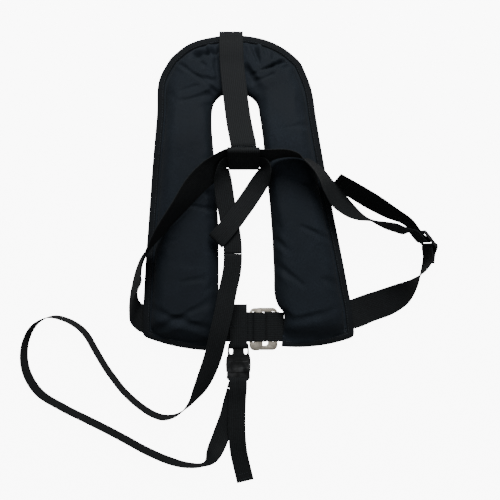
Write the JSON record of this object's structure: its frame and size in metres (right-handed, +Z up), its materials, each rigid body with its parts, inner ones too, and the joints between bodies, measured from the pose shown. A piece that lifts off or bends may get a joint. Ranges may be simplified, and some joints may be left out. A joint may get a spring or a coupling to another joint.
{
  "type": "inflatable life jacket",
  "caption": "Horseshoe inflatable life jacket with padded cover, waist belt, back strap, hook-and-ring front buckle and crotch strap with side-release clip.",
  "frame": {"origin": "middle of the jacket's bounding box without the free crotch strap, on the surface it lies on", "axes": "+Z up from the surface to the wearer's back, +Y from the hem to the collar, +X to the right seen from above"},
  "size_m": [0.6925, 0.7761, 0.1071],
  "materials": {
    "nylon_cover": "woven nylon, near-black navy, matt",
    "binding_tape": "black binding tape, matt",
    "webbing": "black ribbed webbing, matt",
    "acetal": "black moulded acetal, satin",
    "stainless": "stainless steel, lightly brushed",
    "brass": "turned brass",
    "steel": "zinc-plated steel",
    "bladder": "yellow coated fabric",
    "safety_green": "green moulded plastic",
    "signal_red": "red moulded plastic",
    "signal_orange": "orange moulded plastic"
  },
  "bodies": {
    "jacket": {"back_panel_left": "nylon_cover", "back_panel_collar": "nylon_cover", "back_panel_right": "nylon_cover", "front_panel_left": "nylon_cover", "front_panel_collar": "nylon_cover", "front_panel_right": "nylon_cover", "loop_tape": "nylon_cover", "hook_tape": "nylon_cover", "edge_binding": "binding_tape", "oral_tube": "binding_tape", "back_strap": "webbing", "back_keeper": "webbing", "waist_belt": "webbing", "lobe_strap_right": "webbing", "front_strap_left": "webbing", "front_strap_right": "webbing", "crotch_socket_loop": "webbing", "crotch_noose": "webbing", "crotch_strap": "webbing", "waist_adjuster": "acetal", "release_socket": "acetal", "manifold": "acetal", "manifold_nut": "acetal", "inflator_body": "acetal", "oral_valve_body": "acetal", "buckle_ring": "stainless", "firing_spring": "steel", "lever_pin": "steel", "oral_spring": "steel", "bladder": "bladder", "oral_base": "bladder", "bobbin": "signal_orange", "whistle": "signal_orange"},
    "plug": {"release_plug": "acetal", "crotch_tail": "webbing"},
    "plug_arm_left": {"plug_arm_left": "acetal"},
    "plug_arm_right": {"plug_arm_right": "acetal"},
    "buckle_plate": {"buckle_plate": "stainless"},
    "lever": {"lever": "acetal", "safety_clip": "safety_green"},
    "pull_handle": {"pull_lanyard": "signal_red", "pull_toggle": "signal_red"},
    "firing_pin": {"firing_pin": "brass"},
    "gas_cylinder": {"co2_cylinder": "steel"},
    "auto_cap": {"auto_cap": "acetal"},
    "oral_poppet": {"oral_poppet": "signal_red"},
    "oral_cap": {"oral_cap": "signal_red"}
  },
  "joints": [
    {"name": "plug_release", "type": "slide", "parent": "jacket", "child": "plug", "axis": [0, -1, 0], "range_m": [0, 0.035], "deforming": ["crotch_strap"]},
    {"name": "arm_left_squeeze", "type": "hinge", "parent": "plug", "child": "plug_arm_left", "pos_m": [-0.08217, -0.29001, 0.011], "axis": [0, 0, -1], "range_deg": [0, 8.1]},
    {"name": "arm_right_squeeze", "type": "hinge", "parent": "plug", "child": "plug_arm_right", "pos_m": [-0.05467, -0.29001, 0.011], "axis": [0, 0, 1], "range_deg": [0, 8.1]},
    {"name": "buckle_lift", "type": "hinge", "parent": "jacket", "child": "buckle_plate", "pos_m": [-0.04722, -0.21281, 0.0175], "axis": [0, -1, 0], "range_deg": [0, 70]},
    {"name": "lever_pull", "type": "hinge", "parent": "jacket", "child": "lever", "pos_m": [-0.17142, -0.13981, 0.022], "axis": [0, 0, -1], "range_deg": [0, 60]},
    {"name": "handle_pull", "type": "slide", "parent": "jacket", "child": "pull_handle", "axis": [0, -1, 0], "range_m": [0, 0.0274]},
    {"name": "pin_stroke", "type": "slide", "parent": "jacket", "child": "firing_pin", "axis": [0, 1, 0], "range_m": [0, 0.00102], "deforming": ["firing_spring"]},
    {"name": "cylinder_unscrew", "type": "hinge", "parent": "jacket", "child": "gas_cylinder", "pos_m": [-0.17142, -0.05181, 0.022], "axis": [0, 1, 0], "continuous": true},
    {"name": "auto_cap_unscrew", "type": "hinge", "parent": "jacket", "child": "auto_cap", "pos_m": [-0.13242, -0.11181, 0.022], "axis": [1, 0, 0], "continuous": true},
    {"name": "poppet_press", "type": "slide", "parent": "jacket", "child": "oral_poppet", "axis": [0, -1, 0], "range_m": [0, 0.003], "stiffness_N_per_m": 200, "deforming": ["oral_spring"]},
    {"name": "oral_cap_pull", "type": "slide", "parent": "jacket", "child": "oral_cap", "axis": [0, 1, 0], "range_m": [0, 0.015]}
  ],
  "couplings": [
    {"joint": "arm_left_squeeze", "follows": "plug_release", "rad_per_m": 4},
    {"joint": "arm_right_squeeze", "follows": "plug_release", "rad_per_m": 4},
    {"joint": "handle_pull", "follows": "lever_pull", "m_per_rad": 0.026},
    {"joint": "pin_stroke", "follows": "lever_pull", "m_per_rad": 0.000955}
  ]
}
